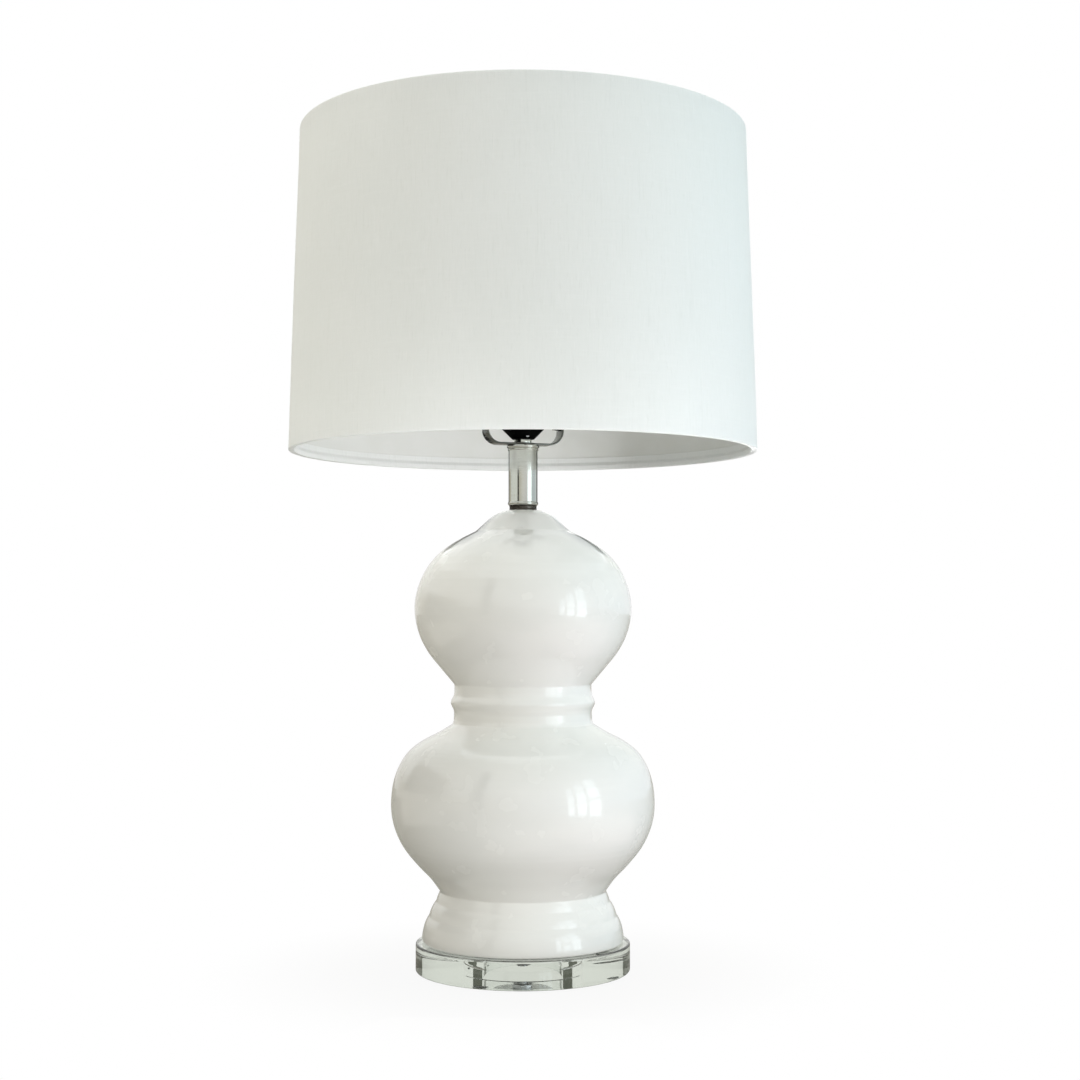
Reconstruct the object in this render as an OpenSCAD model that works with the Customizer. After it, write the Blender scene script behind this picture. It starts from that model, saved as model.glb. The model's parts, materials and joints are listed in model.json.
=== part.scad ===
// Table lamp: double-gourd ceramic body on a clear disc, metal neck, harp and tapered drum shade.
// Units are millimetres. +Z is up, the origin is at the centre of the underside of the feet,
// the harp lies in the XZ plane and the cord inlet faces +Y.

/* [Base] */
// Diameter of the clear disc under the ceramic body
disc_d = 185; // [180:1:200]
// Thickness of the clear disc
disc_t = 24; // [20:1:30]
// Height that the bumper feet stand out below the disc
feet_h = 2; // [1.5:0.5:3]

/* [Neck and pipe] */
// Outer diameter of the metal neck tube
neck_d = 25.4; // [24:0.2:26]
// Height of the neck tube
neck_h = 50.8; // [40:0.2:60]
// Outer diameter of the threaded lamp pipe
pipe_d = 9.6; // [9.4:0.1:9.8]
// Bore of the lamp pipe, which the cord runs through
pipe_bore_d = 6.4; // [6:0.1:7]

/* [Harp] */
// Height of the harp from the saddle's underside to the face that the shade sits on
harp_h = 254; // [240:1:254]
// Diameter of the harp's wire
harp_wire_d = 4; // [3.6:0.1:4.2]
// Distance between the outer faces of the saddle's two prongs
saddle_span = 70.8; // [68:0.2:72]

/* [Shade] */
// Outside diameter of the shade at its bottom edge
shade_bottom_d = 406.6; // [400:0.2:412]
// Outside diameter of the shade at its top edge
shade_top_d = 390; // [384:0.2:398]
// Height of the shade
shade_h = 279; // [274:1:282]
// Diameter of the wire in the shade's rings and arms
ring_wire_d = 3; // [2.8:0.1:3.2]

/* [Hidden] */
$fn = 120;

// Colours
clear_acrylic = [0.86, 0.9, 0.88, 0.4];
glaze_white = [0.93, 0.93, 0.91];
nickel = [0.72, 0.71, 0.68];
dark_nickel = [0.32, 0.31, 0.29];
dull_nickel = [0.45, 0.45, 0.42];
steel = [0.62, 0.63, 0.65];
brass = [0.78, 0.62, 0.33];
phenolic_black = [0.03, 0.03, 0.03];
linen_white = [0.91, 0.93, 0.91];
styrene_white = [0.95, 0.95, 0.93];
foam_grey = [0.55, 0.56, 0.55];
card_tan = [0.72, 0.63, 0.48];
bulb_white = [0.96, 0.96, 0.94];
board_green = [0.1, 0.38, 0.2];
board_white = [0.85, 0.86, 0.86];
chip_yellow = [0.95, 0.82, 0.35];

// Small gap between a turning or sliding piece and what it runs on
running_gap = 0.3;
// Gap between flat faces of two bodies that slide on each other
face_gap = 0.1;

// Heights up the lamp's axis
disc_z = feet_h;
gasket_t = 0.6;
body_z = disc_z + disc_t + gasket_t;
body_h = 372.4;
neck_z = body_z + body_h;
seat_ring_h = 4.3;
neck_tube_z = neck_z + seat_ring_h;
neck_cap_h = 5.2;
neck_cap_top_t = 2;
neck_top_z = neck_tube_z + neck_h + neck_cap_top_t;
saddle_t = 1.5;
saddle_nut_h = 3.4;
socket_z = neck_top_z + saddle_t + saddle_nut_h;

// Base hardware
disc_edge_r = 1.5;
disc_hole_d = 10.4;
recess_d = 68;
recess_h = 16;
foot_d = 13;
foot_circle_d = 150;
foot_count = 4;
washer_d = 27;
washer_t = 1.6;
lock_washer_d = 16;
lock_washer_t = 1.4;
nut_af = 15.9;
base_nut_h = 4.8;
pipe_tail = 1.2;
pipe_z = disc_z + recess_h - washer_t - lock_washer_t - base_nut_h - pipe_tail;
pipe_top_z = socket_z + 7.5;
pipe_clearance = 0.3;
pipe_window_d = 6;

// Cord inlet at the back of the ceramic foot
inlet_z = body_z + 12.9;
inlet_seat_y = 83;
bushing_bore_d = 6.4;
bushing_d = 9.4;
bushing_hole_d = 9.9;
bushing_flange_d = 13.5;
bushing_flange_t = 2.4;
bushing_length = 9;

// Neck details
neck_wall = 1;
neck_bead_h = 3;
neck_bead_d = 26.6;
seat_ring_d = 24.6;
spigot_d = 13.4;
spigot_h = 4;
neck_cap_d = 28.6;

// Saddle and harp
strip_w = 15;
prong_w = 5;
saddle_bend_r = 13;
prong_top_z = neck_top_z + 29;
ferrule_d = 11;
ferrule_h = 16;
ferrule_z = neck_top_z + saddle_bend_r + 1;
leg_x = saddle_span / 2 - saddle_t - 0.1 - harp_wire_d / 2;
leg_z = ferrule_z + 1.5;
flare_r = 60;
flare_angle = 25;
side_r = 190;
side_angle = 20;
flare_x = leg_x + flare_r * (1 - cos(flare_angle));
crown_x = flare_x + side_r * (cos(side_angle) - cos(flare_angle));
crown_r = crown_x / cos(side_angle);
boss_cover_t = 0.8;
boss_top_z = neck_top_z + harp_h;
harp_top_z = boss_top_z - boss_cover_t - harp_wire_d / 2;
crown_z = harp_top_z - crown_r * (1 - sin(side_angle));
widest_z = crown_z - side_r * sin(side_angle);
flare_z = widest_z - side_r * sin(flare_angle);
leg_top_z = flare_z - flare_r * sin(flare_angle);
joint_gap = 0.2;
boss_d = 11;
boss_h = 5.5;
stud_d = 6.3;
stud_h = 15;

// Shade: the outer fabric, the stiff liner behind it and the wire frame
fabric_t = 0.8;
liner_t = 0.6;
hem_depth = 12;
hub_d = 26;
hub_t = 2.4;
hub_hole_d = stud_d + 2 * running_gap;
hub_z = boss_top_z + face_gap;
shade_drop = 16;
shade_z = hub_z + hub_t + shade_drop - shade_h;
arm_count = 3;
arm_rise_r = 168;
ring_inset = fabric_t + 0.1 + ring_wire_d / 2;
ring_lift = fabric_t + 0.1 + ring_wire_d / 2;

// Socket
cap_h = 12.5;
cap_hub_r = 9.6;
cap_r = 18.4;
cap_wall = 1.6;
shell_z = socket_z + cap_h;
shell_r = 17.9;
shell_h = 45.5;
shell_wall = 1.1;
knob_z = shell_z + 12;
knob_d = 12;
knob_length = 13;
knob_y = -24.5;
knob_ribs = 16;
shaft_d = 4;
core_r = 14.6;
core_z = socket_z + 7.8;
core_h = 22;
thread_pitch = 3.63;
thread_depth = 0.9;
thread_turns = 5;
thread_lead_in = 6.5;
screw_shell_z = core_z + core_h;
screw_shell_h = thread_lead_in + thread_turns * thread_pitch + 0.3;

// Bulb
bulb_gap = 0.35;
bulb_tip_z = screw_shell_z + 2.2;
bulb_thread_z = screw_shell_z + thread_lead_in;
bulb_neck_z = bulb_thread_z + thread_turns * thread_pitch + 1.2;
bulb_housing_h = 50;
bulb_rim_z = bulb_neck_z + bulb_housing_h;
bulb_r = 30;
bulb_wall = 1.2;
bulb_cap_r = 13;
tip_h = 0.8;
board_z = bulb_rim_z - 3;
board_t = 1.6;

// Finial
finial_z = hub_z + hub_t + face_gap;

// Points on a circular arc in a profile, from angle a0 to a1 in degrees
function arc(centre, r, a0, a1, steps = 12) =
    [for (i = [0 : steps]) centre + r * [cos(a0 + (a1 - a0) * i / steps), sin(a0 + (a1 - a0) * i / steps)]];

// Arc from p to q in a profile that stands out by rise, on the right of the way up
function bulged(p, q, rise, steps = 8) =
    let (
        chord = norm(q - p),
        out = [q[1] - p[1], p[0] - q[0]] / chord,
        r = (chord ^ 2 / 4 + rise ^ 2) / (2 * rise),
        facing = atan2(out[1], out[0]),
        half = asin(chord / 2 / r)
    )
    arc((p + q) / 2 + (rise - r) * out, r, facing - half, facing + half, steps);

// Slope of a smooth curve through the stations p at station i, per unit of chord length
function slope(p, i) =
    i == 0 ? (p[1] - p[0]) / norm(p[1] - p[0]) :
    i == len(p) - 1 ? (p[i] - p[i - 1]) / norm(p[i] - p[i - 1]) :
    let (before = norm(p[i] - p[i - 1]), after = norm(p[i + 1] - p[i]))
    ((p[i] - p[i - 1]) / before * after + (p[i + 1] - p[i]) / after * before) / (before + after);

// Point at share t of the way from station i to the next
function between(p, i, t) =
    let (span = norm(p[i + 1] - p[i]))
    (2 * t ^ 3 - 3 * t ^ 2 + 1) * p[i] + (t ^ 3 - 2 * t ^ 2 + t) * span * slope(p, i)
    + (3 * t ^ 2 - 2 * t ^ 3) * p[i + 1] + (t ^ 3 - t ^ 2) * span * slope(p, i + 1);

// Smooth curve through stations, with a few points between each pair
function smooth(p, steps = 4) =
    [for (i = [0 : len(p) - 2]) for (k = [0 : steps - 1]) between(p, i, k / steps), p[len(p) - 1]];

// Stations moved in from the outline by the thickness of the wall
function inset(p, wall) =
    [for (i = [0 : len(p) - 1]) p[i] - wall * [slope(p, i)[1], -slope(p, i)[0]] / norm(slope(p, i))];

function reverse(list) = [for (i = [len(list) - 1 : -1 : 0]) list[i]];

// The ceramic's outline as [radius, height above its own foot]
foot_steps = [[87, 2], [86, 10.5], [81, 22.3], [75, 34.6], [71.6, 43.4]];
foot_rolls = [0.3, 0.8, 0.8, 0.3];
lower_gourd = [[71.6, 43.4], [80, 54.9], [90.6, 65.9], [105.8, 85.9], [113, 105.9], [114, 120.9],
    [109, 146.9], [99, 163.4], [84.5, 173.9], [74, 179.1], [61, 186.9]];
waist_r = 60;
waist_foot_h = 190.4;
waist_bead = [[59.7, 196.4], [60.4, 199.6], [62, 202.6], [62.8, 205.4], [62, 208.2], [60.4, 211.2],
    [59.7, 214.4]];
upper_gourd = [[59.5, 220.9], [72, 235.9], [82, 248.4], [89.3, 261.9], [94.5, 287.9], [91.6, 304.9],
    [77.6, 330.4], [67.4, 339.4], [53.6, 347.9], [41.3, 353.9]];
top_bell = [[41.3, 353.9], [37, 357.7], [29.3, 364.9], [24.2, 368.9], [18, 372.1]];
ceramic_wall = 5;
waist_wall = 4.5;
lip_r = 60;
lip_h = 4.5;
foot_edge_r = 2;
top_hole_r = 7;

// Outer outline of the ceramic, from the edge of its foot up to the neck's seat
function ceramic_outside() = concat(
    arc([foot_steps[0][0] - foot_edge_r, foot_edge_r], foot_edge_r, -90, 0, 5),
    [for (i = [0 : len(foot_steps) - 2]) each bulged(foot_steps[i], foot_steps[i + 1], foot_rolls[i], 4)],
    smooth(lower_gourd),
    [[waist_r, waist_foot_h]],
    smooth(waist_bead),
    smooth(upper_gourd),
    smooth(top_bell),
    [[13.5, body_h]]
);

// Inner outline, from the neck's hole down to the lip of the foot
function ceramic_inside() = reverse(concat(
    [[lip_r, lip_h], [foot_steps[0][0] - ceramic_wall - foot_edge_r, lip_h]],
    [for (i = [1 : len(foot_steps) - 1]) inset(foot_steps, ceramic_wall)[i]],
    smooth(inset(lower_gourd, ceramic_wall), 3),
    [for (end = [waist_bead[0], waist_bead[len(waist_bead) - 1]]) [waist_r - waist_wall, end[1]]],
    smooth(inset(upper_gourd, ceramic_wall), 3),
    [inset(top_bell, ceramic_wall)[2], [14, body_h - ceramic_wall]]
));

module base_disc() {
    edge = disc_d / 2 - disc_edge_r;
    color(clear_acrylic)
    translate([0, 0, disc_z])
    rotate_extrude()
    polygon(concat(
        [[disc_hole_d / 2, recess_h], [recess_d / 2, recess_h], [recess_d / 2, 0]],
        arc([edge, disc_edge_r], disc_edge_r, -90, 0, 6),
        arc([edge, disc_t - disc_edge_r], disc_edge_r, 0, 90, 6),
        [[disc_hole_d / 2, disc_t]]
    ));
}

module base_feet() {
    color(clear_acrylic)
    for (i = [0 : foot_count - 1])
        rotate(45 + i * 360 / foot_count)
        translate([foot_circle_d / 2, 0, 0])
        cylinder(h = feet_h, d1 = foot_d - 2.5, d2 = foot_d);
}

module ring(outer_d, inner_d, h) {
    difference() {
        cylinder(h = h, d = outer_d);
        translate([0, 0, -1]) cylinder(h = h + 2, d = inner_d);
    }
}

module hex_nut(af, bore_d, h) {
    difference() {
        cylinder(h = h, d = af / cos(30), $fn = 6);
        translate([0, 0, -1]) cylinder(h = h + 2, d = bore_d);
    }
}

module base_washer() {
    color(steel)
    translate([0, 0, disc_z + recess_h - washer_t])
    ring(washer_d, pipe_d + 2 * pipe_clearance, washer_t);
}

module base_lock_washer() {
    gap_w = 1.6;
    color(steel)
    translate([0, 0, disc_z + recess_h - washer_t - lock_washer_t])
    difference() {
        ring(lock_washer_d, pipe_d + 2 * pipe_clearance, lock_washer_t);
        translate([0, -gap_w / 2, -1]) cube([lock_washer_d, gap_w, lock_washer_t + 2]);
    }
}

module base_nut() {
    color(steel)
    translate([0, 0, pipe_z + pipe_tail])
    hex_nut(nut_af, pipe_d, base_nut_h);
}

module foot_gasket() {
    color(foam_grey)
    translate([0, 0, disc_z + disc_t])
    ring(2 * foot_steps[0][0] - 8, 2 * lip_r + 4, gasket_t);
}

module ceramic_body() {
    color(glaze_white)
    difference() {
        translate([0, 0, body_z])
        rotate_extrude()
        polygon(concat(
            [[lip_r, 0]],
            ceramic_outside(),
            [[top_hole_r, body_h], [top_hole_r, body_h - ceramic_wall]],
            ceramic_inside()
        ));
        translate([0, 0, inlet_z]) rotate([-90, 0, 0]) {
            cylinder(h = disc_d, d = bushing_hole_d);
            translate([0, 0, inlet_seat_y]) cylinder(h = disc_d, d = bushing_flange_d + 1);
        }
    }
}

module cord_bushing() {
    color(phenolic_black)
    translate([0, inlet_seat_y, inlet_z])
    rotate([-90, 0, 0])
    rotate_extrude()
    polygon([
        [bushing_bore_d / 2, bushing_flange_t - bushing_length],
        [bushing_d / 2, bushing_flange_t - bushing_length],
        [bushing_d / 2, 0],
        [bushing_flange_d / 2, 0],
        [bushing_flange_d / 2, bushing_flange_t - 0.8],
        [bushing_flange_d / 2 - 1.2, bushing_flange_t],
        [bushing_bore_d / 2, bushing_flange_t]
    ]);
}

module lamp_pipe() {
    color(steel)
    difference() {
        translate([0, 0, pipe_z])
        ring(pipe_d, pipe_bore_d, pipe_top_z - pipe_z);
        translate([0, 0, inlet_z]) rotate([-90, 0, 0]) cylinder(h = pipe_d, d = pipe_window_d);
    }
}

module neck_seat_ring() {
    waist = 0.5;
    color(dark_nickel)
    translate([0, 0, neck_z])
    rotate_extrude()
    polygon([
        [pipe_d / 2 + pipe_clearance, -spigot_h], [spigot_d / 2, -spigot_h], [spigot_d / 2, 0],
        [seat_ring_d / 2, 0], [seat_ring_d / 2 - waist, 1.2], [seat_ring_d / 2 - waist, seat_ring_h - 1.2],
        [seat_ring_d / 2, seat_ring_h], [pipe_d / 2 + pipe_clearance, seat_ring_h]
    ]);
}

module neck_lower_bead() {
    color(nickel)
    translate([0, 0, neck_tube_z])
    rotate_extrude()
    polygon(bulged([neck_d / 2, 0], [neck_d / 2, neck_bead_h], (neck_bead_d - neck_d) / 2));
}

module neck_tube() {
    color(nickel)
    translate([0, 0, neck_tube_z])
    ring(neck_d, neck_d - 2 * neck_wall, neck_h);
}

module neck_cap() {
    bead_base_r = neck_d / 2 + 0.2;
    step_h = 1.8;
    bore_r = pipe_d / 2 + pipe_clearance;
    ledge_h = neck_cap_h - neck_cap_top_t;
    color(nickel)
    translate([0, 0, neck_top_z - neck_cap_h])
    rotate_extrude()
    polygon(concat(
        [[neck_d / 2, 0]],
        bulged([bead_base_r, 0], [bead_base_r, step_h], 0.6),
        bulged([bead_base_r, step_h + 0.1], [bead_base_r, neck_cap_h], neck_cap_d / 2 - bead_base_r),
        [[bore_r, neck_cap_h], [bore_r, ledge_h], [neck_d / 2, ledge_h]]
    ));
}

// Half of the saddle's outline in the XZ plane, from its middle out to the prong's top
function saddle_side() =
    let (x = saddle_span / 2, bend = saddle_bend_r)
    concat(
        [[0, 0]],
        arc([x - bend, bend], bend, -90, 0, 14),
        [[x, prong_top_z - neck_top_z], [x - saddle_t, prong_top_z - neck_top_z]],
        reverse(arc([x - bend, bend], bend - saddle_t, -90, 0, 14)),
        [[0, saddle_t]]
    );

module harp_saddle() {
    hub_r = 11;
    shoulder_z = ferrule_z - neck_top_z;
    color(dull_nickel)
    translate([0, 0, neck_top_z])
    difference() {
        union() {
            for (side = [0, 1])
                mirror([side, 0, 0])
                translate([0, strip_w / 2, 0])
                rotate([90, 0, 0])
                linear_extrude(strip_w)
                polygon(saddle_side());
            cylinder(h = saddle_t, r = hub_r);
        }
        translate([0, 0, -1]) cylinder(h = saddle_t + 2, d = pipe_d + 2 * pipe_clearance);
        for (side = [-1, 1])
            translate([-saddle_span, side * (prong_w + strip_w) / 2 - strip_w / 2, shoulder_z - face_gap])
            cube([2 * saddle_span, strip_w, 60]);
    }
}

module saddle_nut() {
    color(nickel)
    translate([0, 0, neck_top_z + saddle_t])
    hex_nut(14.2, pipe_d, saddle_nut_h);
}

module socket_cap() {
    cone_h = cap_r - cap_hub_r;
    hub_top = 6;
    color(phenolic_black)
    difference() {
        translate([0, 0, socket_z])
        rotate_extrude()
        polygon([
            [pipe_d / 2, 0], [cap_hub_r, 0], [cap_r, cone_h], [cap_r, cap_h],
            [cap_r - cap_wall, cap_h], [cap_r - cap_wall, cone_h + 0.7],
            [cap_hub_r + 1.6, hub_top - 1], [pipe_d / 2, hub_top - 1]
        ]);
        translate([0, 0, socket_z + 2.5]) rotate([90, 0, 0]) cylinder(h = 20, d = 3);
    }
}

module cap_set_screw() {
    screw_y = -12.3;
    slot_w = 0.6;
    color(steel)
    translate([0, screw_y, socket_z + 2.5])
    difference() {
        rotate([-90, 0, 0]) cylinder(h = -screw_y - pipe_d / 2, d = 2.9);
        translate([-2, -1, -slot_w / 2]) cube([4, 1.8, slot_w]);
    }
}

module socket_shell() {
    color(phenolic_black)
    difference() {
        translate([0, 0, shell_z])
        rotate_extrude()
        polygon([
            [shell_r - shell_wall, 0], [cap_r, 0], [cap_r, 1.4], [shell_r, 1.8],
            [shell_r, shell_h - 5], [shell_r + 0.5, shell_h - 4], [shell_r + 0.5, shell_h - 2],
            [shell_r, shell_h - 1], [shell_r, shell_h], [shell_r - shell_wall, shell_h]
        ]);
        translate([0, 0, knob_z]) rotate([90, 0, 0]) cylinder(h = 30, d = shaft_d + 1.4);
    }
}

module socket_sleeve() {
    sleeve_r = shell_r - shell_wall;
    color(card_tan)
    difference() {
        translate([0, 0, shell_z + 1]) ring(2 * sleeve_r, 2 * sleeve_r - 1.4, shell_h - 2);
        translate([0, 0, knob_z]) rotate([90, 0, 0]) cylinder(h = 30, d = shaft_d + 1.4);
    }
}

module socket_core() {
    pocket = [6, 3.4, 9];
    color(phenolic_black)
    difference() {
        translate([0, 0, core_z]) cylinder(h = core_h, r = core_r);
        translate([0, 0, knob_z]) rotate([90, 0, 0]) cylinder(h = 30, d = shaft_d + 2 * running_gap);
        for (side = [0, 180])
            rotate(side)
            translate([core_r - pocket[1], -pocket[0] / 2, core_z + 5])
            cube([pocket[1] + 1, pocket[0], pocket[2]]);
        translate([0, 0, core_z - 1]) cylinder(h = 4, d = pipe_bore_d);
    }
}

// Rounded screw thread as rings, from the radius of its crests
function thread_outline(crest_r, turns) =
    [for (i = [0 : 8 * turns]) [crest_r - thread_depth * (1 - cos(45 * i)) / 2, i * thread_pitch / 8]];

module socket_screw_shell() {
    hole_r = 3.5;
    metal_t = 0.5;
    inner_r = bulb_cap_r + bulb_gap;
    outline = [for (p = thread_outline(inner_r, thread_turns)) p + [0, thread_lead_in]];
    color(brass)
    translate([0, 0, screw_shell_z])
    rotate_extrude()
    polygon(concat(
        [[hole_r, 0], [inner_r + metal_t, 0]],
        [for (p = outline) p + [metal_t, 0]],
        [[inner_r + metal_t, screw_shell_h], [inner_r, screw_shell_h]],
        reverse(outline),
        [[inner_r, metal_t], [hole_r, metal_t]]
    ));
}

module socket_centre_contact() {
    color(brass)
    translate([0, 0, screw_shell_z])
    union() {
        cylinder(h = 0.8, d = 6);
        translate([0, 0, 0.8]) cylinder(h = bulb_tip_z - screw_shell_z - 0.8 - face_gap, d1 = 5, d2 = 3.4);
    }
}

module terminal_screw(side) {
    head_z = core_z + 9.5;
    color(side > 0 ? brass : steel)
    translate([side * (core_r - 3.4), 0, head_z])
    rotate([0, side * 90, 0])
    difference() {
        cylinder(h = 2.2, d = 5.2);
        translate([-3, -0.4, 1.4]) cube([6, 0.8, 2]);
    }
}

module switch_shaft() {
    color(brass)
    translate([0, -6, knob_z])
    rotate([90, 0, 0])
    cylinder(h = -knob_y + 2 - 6 + 4, d = shaft_d);
}

module switch_knob() {
    color(phenolic_black)
    translate([0, knob_y, knob_z])
    rotate([90, 0, 0])
    difference() {
        union() {
            cylinder(h = 3, d = knob_d - 3);
            translate([0, 0, 3])
            linear_extrude(knob_length - 4)
            polygon([for (i = [0 : 2 * knob_ribs - 1])
                (knob_d / 2 - (i % 2) * 0.5) * [cos(180 * i / knob_ribs), sin(180 * i / knob_ribs)]]);
            translate([0, 0, knob_length - 1]) cylinder(h = 1, d1 = knob_d - 1.2, d2 = knob_d - 3);
        }
        translate([0, 0, -1]) cylinder(h = 7, d = shaft_d);
    }
}

module bulb_diffuser() {
    color(bulb_white)
    translate([0, 0, bulb_rim_z])
    rotate_extrude()
    polygon(concat(
        [[bulb_r - bulb_wall, 0]],
        arc([0, 0], bulb_r, 0, 90, 18),
        arc([0, 0], bulb_r - bulb_wall, 90, 0.01, 18)
    ));
}

module bulb_housing() {
    neck_r = 14.5;
    rim_r = bulb_r - 0.2;
    stations = [[neck_r, 0], [neck_r + 0.8, 8], [20.5, 20], [26.5, 34], [rim_r, bulb_housing_h - 1]];
    color(bulb_white)
    translate([0, 0, bulb_neck_z])
    rotate_extrude()
    polygon(concat(
        [[0, 0]], smooth(stations, 3),
        [[rim_r, bulb_housing_h], [rim_r - 2.5, bulb_housing_h], [rim_r - 3, bulb_housing_h - 3],
         [23, 34], [17, 20], [11, 10], [11, 2], [0, 2]]
    ));
}

module bulb_screw_cap() {
    outline = thread_outline(bulb_cap_r, thread_turns);
    color(nickel)
    translate([0, 0, bulb_thread_z])
    rotate_extrude()
    polygon(concat(
        [[5, -2.2], [11, -0.4]], outline,
        [[bulb_cap_r, bulb_neck_z - bulb_thread_z], [bulb_cap_r - 1, bulb_neck_z - bulb_thread_z],
         [bulb_cap_r - 1.8, 0.6], [5, -1.2]]
    ));
}

module bulb_insulator() {
    color(phenolic_black)
    translate([0, 0, bulb_tip_z + tip_h])
    cylinder(h = bulb_thread_z - 1.2 - bulb_tip_z - tip_h, d1 = 8, d2 = 9.8);
}

module bulb_tip_contact() {
    color(nickel)
    translate([0, 0, bulb_tip_z])
    cylinder(h = tip_h, d1 = 5, d2 = 7);
}

module led_board() {
    color(board_white)
    translate([0, 0, board_z])
    cylinder(h = board_t, d = 52);
}

module led_chips() {
    chip = [3.5, 2.8, 0.7];
    chip_circle_r = 15;
    color(chip_yellow)
    for (i = [0 : 9])
        rotate(i * 36)
        translate([chip_circle_r - chip[0] / 2, -chip[1] / 2, board_z + board_t])
        cube(chip);
}

module driver_board() {
    driver = [18, 1.6, 30];
    color(board_green)
    translate([-driver[0] / 2, -driver[1] / 2, bulb_neck_z + 3])
    cube(driver);
}

// A stretch of harp wire bent to radius r about a centre in the XZ plane, between two angles,
// and a little short at each end, where a joint closes the gap
module bent_wire(centre, r, a0, a1) {
    trim = joint_gap / r * 180 / PI;
    translate([centre[0], 0, centre[1]])
    rotate([90, 0, 0])
    rotate([0, 0, a0 + trim])
    rotate_extrude(angle = a1 - a0 - 2 * trim)
    translate([r, 0]) circle(d = harp_wire_d, $fn = 32);
}

module wire_joint(x, z) {
    translate([x, 0, z]) sphere(d = harp_wire_d + 0.1, $fn = 32);
}

module harp_side() {
    translate([leg_x, 0, leg_z]) cylinder(h = leg_top_z - leg_z - joint_gap, d = harp_wire_d, $fn = 32);
    wire_joint(leg_x, leg_top_z);
    bent_wire([leg_x + flare_r, leg_top_z], flare_r, 180 - flare_angle, 180);
    wire_joint(flare_x, flare_z);
    bent_wire([flare_x - side_r * cos(flare_angle), widest_z], side_r, -flare_angle, side_angle);
    wire_joint(crown_x, crown_z);
}

module harp_crown() {
    bent_wire([0, harp_top_z - crown_r], crown_r, side_angle, 180 - side_angle);
}

module harp_wire() {
    color(nickel)
    union() {
        harp_crown();
        for (side = [0, 1]) mirror([side, 0, 0]) harp_side();
    }
}

module harp_boss() {
    color(nickel)
    difference() {
        translate([0, 0, boss_top_z - boss_h]) cylinder(h = boss_h, d = boss_d);
        harp_crown();
    }
}

module harp_stud() {
    color(steel)
    translate([0, 0, boss_top_z])
    union() {
        cylinder(h = stud_h - 0.8, d = stud_d);
        translate([0, 0, stud_h - 0.8]) cylinder(h = 0.8, d1 = stud_d, d2 = stud_d - 1.6);
    }
}

module harp_ferrule(side) {
    slot_x = (saddle_span - saddle_t) / 2;
    centre_x = leg_x + 0.9;
    r = ferrule_d / 2;
    color(nickel)
    translate([side * centre_x, 0, ferrule_z])
    difference() {
        rotate_extrude()
        polygon([
            [0, 0], [r - 0.6, 0], [r, 0.6], [r, 2], [r - 0.5, 2.5], [r - 0.5, ferrule_h - 2.5],
            [r, ferrule_h - 2], [r, ferrule_h - 0.6], [r - 0.6, ferrule_h], [0, ferrule_h]
        ]);
        translate([side * (leg_x - centre_x), 0, -1])
        cylinder(h = ferrule_h + 2, d = harp_wire_d + 2 * running_gap);
        translate([side * (slot_x - centre_x) - saddle_t / 2 - running_gap, -prong_w / 2 - running_gap, -1])
        cube([saddle_t + 2 * running_gap, prong_w + 2 * running_gap, ferrule_h + 2]);
    }
}

// Radius of the shade's outer face at height z above its bottom edge
function shade_r(z) = shade_bottom_d / 2 + (shade_top_d - shade_bottom_d) / 2 * z / shade_h;

// Point at depth in from the shade's outer face, at height z above the bottom edge
function inside_shade(depth, z) = [shade_r(z) - depth, z];

// Where a spider arm turns up, and the middle of the top ring's wire where it ends, as [radius, z]
arm_bend = [arm_rise_r, hub_z + hub_t / 2];
arm_end = [shade_r(shade_h - ring_lift) - ring_inset, shade_z + shade_h - ring_lift];

// A rod of diameter d that starts at the bend of arm i and stops short of the ring's middle
module arm_riser(i, d, short) {
    rise = arm_end - arm_bend;
    rotate(90 + i * 360 / arm_count)
    translate([arm_bend[0], 0, arm_bend[1]])
    rotate([0, atan2(rise[0], rise[1]), 0])
    cylinder(h = norm(rise) - short, d = d, $fn = 32);
}

module shade_fabric() {
    t = fabric_t;
    pocket = t + 0.2 + ring_wire_d;
    lap = t + liner_t + 0.1;
    color(linen_white)
    difference() {
        translate([0, 0, shade_z])
        rotate_extrude()
        polygon([
            inside_shade(0, 0), inside_shade(0, shade_h), inside_shade(pocket + t, shade_h),
            inside_shade(pocket + t, shade_h - pocket), inside_shade(lap + t, shade_h - pocket - 3),
            inside_shade(lap + t, shade_h - hem_depth), inside_shade(lap, shade_h - hem_depth),
            inside_shade(lap, shade_h - pocket - 2.4), inside_shade(pocket, shade_h - pocket + 0.4),
            inside_shade(pocket, shade_h - t), inside_shade(t, shade_h - t),
            inside_shade(t, t), inside_shade(pocket, t),
            inside_shade(pocket, pocket - 0.4), inside_shade(lap, pocket + 2.4),
            inside_shade(lap, hem_depth), inside_shade(lap + t, hem_depth),
            inside_shade(lap + t, pocket + 3), inside_shade(pocket + t, pocket), inside_shade(pocket + t, 0)
        ]);
        for (i = [0 : arm_count - 1]) arm_riser(i, ring_wire_d + 2 * running_gap, 0.5);
    }
}

module shade_liner() {
    edge = fabric_t + ring_wire_d + 0.6;
    color(styrene_white)
    translate([0, 0, shade_z])
    rotate_extrude()
    polygon([
        inside_shade(fabric_t, edge), inside_shade(fabric_t, shade_h - edge),
        inside_shade(fabric_t + liner_t, shade_h - edge), inside_shade(fabric_t + liner_t, edge)
    ]);
}

module wire_ring(z) {
    color(nickel)
    translate([0, 0, shade_z + z])
    rotate_extrude()
    translate([shade_r(z) - ring_inset, 0]) circle(d = ring_wire_d, $fn = 32);
}

module shade_top_ring() { wire_ring(shade_h - ring_lift); }

module shade_bottom_ring() { wire_ring(ring_lift); }

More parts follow.
